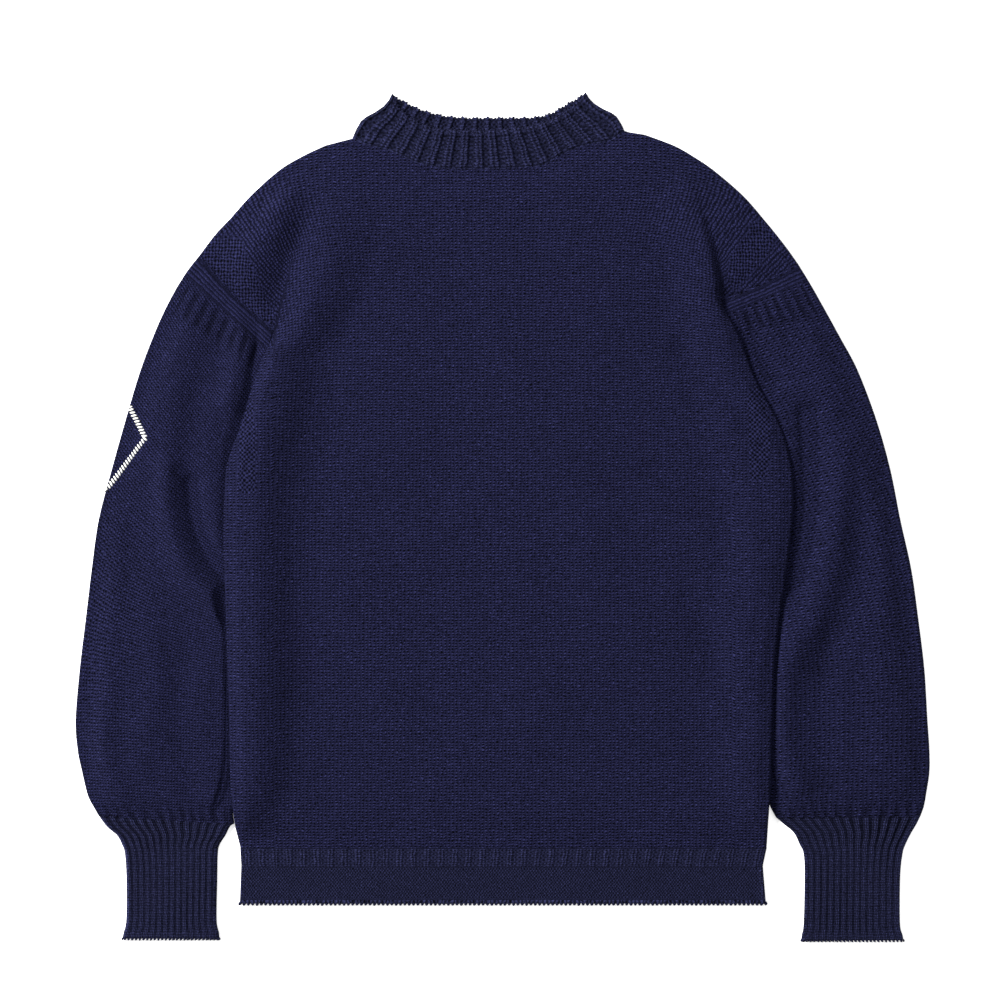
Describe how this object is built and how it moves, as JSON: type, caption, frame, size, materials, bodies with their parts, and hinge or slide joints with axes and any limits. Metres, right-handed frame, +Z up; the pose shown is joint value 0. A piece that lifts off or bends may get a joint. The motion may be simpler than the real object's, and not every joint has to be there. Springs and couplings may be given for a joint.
{
  "type": "fisherman sweater",
  "caption": "Heavy knitted fisherman sweater laid flat: drop shoulders, ribbed stand collar, full sleeves in long ribbed cuffs, split welts.",
  "frame": {"origin": "centre of the bounding box on the surface that the sweater lies on", "axes": "+X towards the garment's own left sleeve, +Y towards the neck, +Z up from the surface, out of the front panel"},
  "size_m": [0.7866, 0.7804, 0.0133],
  "materials": {
    "body_knit": "navy worsted wool, plain knit, matt with a faint sheen",
    "rib_knit": "navy worsted wool, two by two rib and garter knit",
    "stitching": "thick off-white wool, hand stitched"
  },
  "bodies": {
    "root": {"front_panel": "body_knit", "back_panel": "body_knit", "front_welt": "rib_knit", "back_welt": "rib_knit", "sleeve_right": "body_knit", "sleeve_left": "body_knit", "cuff_right": "rib_knit", "cuff_left": "rib_knit", "collar": "rib_knit"}
  },
  "joints": []
}
